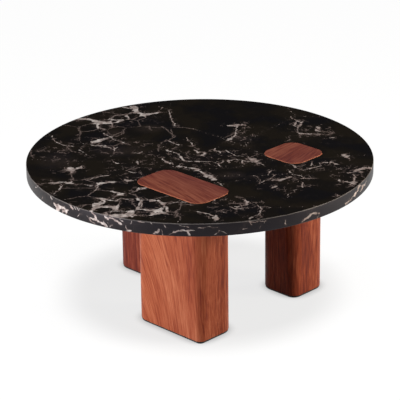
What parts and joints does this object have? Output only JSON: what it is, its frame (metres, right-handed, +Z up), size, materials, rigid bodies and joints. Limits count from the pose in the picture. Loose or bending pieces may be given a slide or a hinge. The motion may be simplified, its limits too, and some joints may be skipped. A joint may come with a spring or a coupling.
{
  "type": "coffee table",
  "caption": "Low round coffee table with a dark veined marble top on offset upright wooden legs, with matching wood inlays let into the stone above them.",
  "frame": {"origin": "on the floor under the middle of the round top", "axes": "+Z up; +X along the glue line of the front leg, towards its outer end; +Y from the front leg's row to the right leg's row"},
  "size_m": [0.7999, 0.8, 0.3365],
  "materials": {
    "black_marble": "polished",
    "leg_wood": "satin",
    "inlay_wood": "satin",
    "pad_black": "matte",
    "gasket_rubber": "matte",
    "zinc_steel": "satin"
  },
  "bodies": {
    "root": {"marble_top": "black_marble", "front_inlay": "inlay_wood", "right_inlay": "inlay_wood", "front_leg_outer_stave": "leg_wood", "front_leg_inner_stave": "leg_wood", "right_leg_outer_stave": "leg_wood", "right_leg_inner_stave": "leg_wood", "rear_leg_outer_stave": "leg_wood", "rear_leg_inner_stave": "leg_wood", "front_foot_pad": "pad_black", "right_foot_pad": "pad_black", "rear_foot_pad": "pad_black", "front_leg_gasket": "gasket_rubber", "right_leg_gasket": "gasket_rubber", "rear_leg_gasket": "gasket_rubber", "threaded_inserts": "zinc_steel", "tie_rods": "zinc_steel", "rod_washers": "zinc_steel", "rod_nuts": "zinc_steel", "foot_pad_screws": "zinc_steel"}
  },
  "joints": []
}
